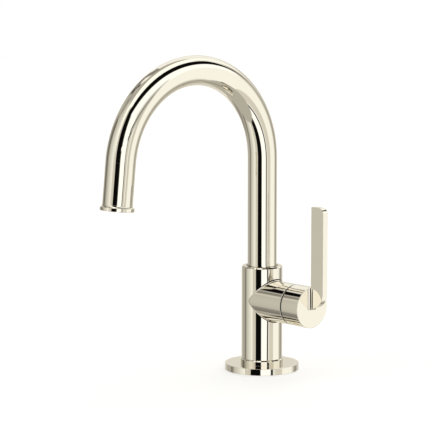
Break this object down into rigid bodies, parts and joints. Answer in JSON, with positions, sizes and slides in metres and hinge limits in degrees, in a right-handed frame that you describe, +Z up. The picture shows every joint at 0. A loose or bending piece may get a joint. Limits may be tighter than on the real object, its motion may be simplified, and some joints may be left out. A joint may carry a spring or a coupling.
{
  "type": "single-lever basin mixer",
  "caption": "Deck-mounted single-lever basin mixer with a gooseneck swivel spout, a round base flange and a side valve with a flat upright lever.",
  "frame": {"origin": "on the column's axis at the deck plane, the face that the mixer stands on", "axes": "+Z up along the column, -Y towards the basin along the spout, +X along the side valve's axis towards the lever"},
  "size_m": [0.1087, 0.2066, 0.274],
  "materials": {
    "nickel": "polished nickel plate on brass",
    "brass": "turned, bare",
    "steel": "stainless steel, turned",
    "rubber": "matt black EPDM",
    "dark_ring": "matt black acetal",
    "white_plastic": "moulded, natural white",
    "grey_plastic": "moulded, dark grey",
    "ceramic": "lapped alumina"
  },
  "bodies": {
    "mixer": {"base_flange": "nickel", "base_seal": "rubber", "column": "nickel", "valve_housing": "nickel", "swivel_bush": "dark_ring", "thrust_washer": "white_plastic", "swivel_stop_screw": "steel", "port_seal": "rubber", "cartridge_shell": "white_plastic", "fixed_ceramic_disc": "ceramic", "cartridge_bonnet": "white_plastic", "cartridge_ring_nut": "brass", "handle_slide_ring": "dark_ring"},
    "spout": {"spout_tube": "nickel", "spout_foot": "brass", "spout_seals": "rubber", "outlet_collar": "nickel", "aerator_seal": "rubber", "aerator_shell": "white_plastic", "flow_regulator": "white_plastic", "aerator_face": "grey_plastic"},
    "lever": {"handle": "nickel", "spindle": "brass", "disc_carrier": "grey_plastic", "moving_ceramic_disc": "ceramic", "spindle_seal": "rubber", "handle_grub_screw": "steel"}
  },
  "joints": [
    {"name": "spout_swivel", "type": "hinge", "parent": "mixer", "child": "spout", "pos_m": [0, 0, 0.08], "axis": [0, 0, 1], "range_deg": [-60, 60]},
    {"name": "handle_turn", "type": "hinge", "parent": "mixer", "child": "lever", "pos_m": [0.05, 0, 0.0613], "axis": [1, 0, 0], "range_deg": [0, 100]}
  ]
}
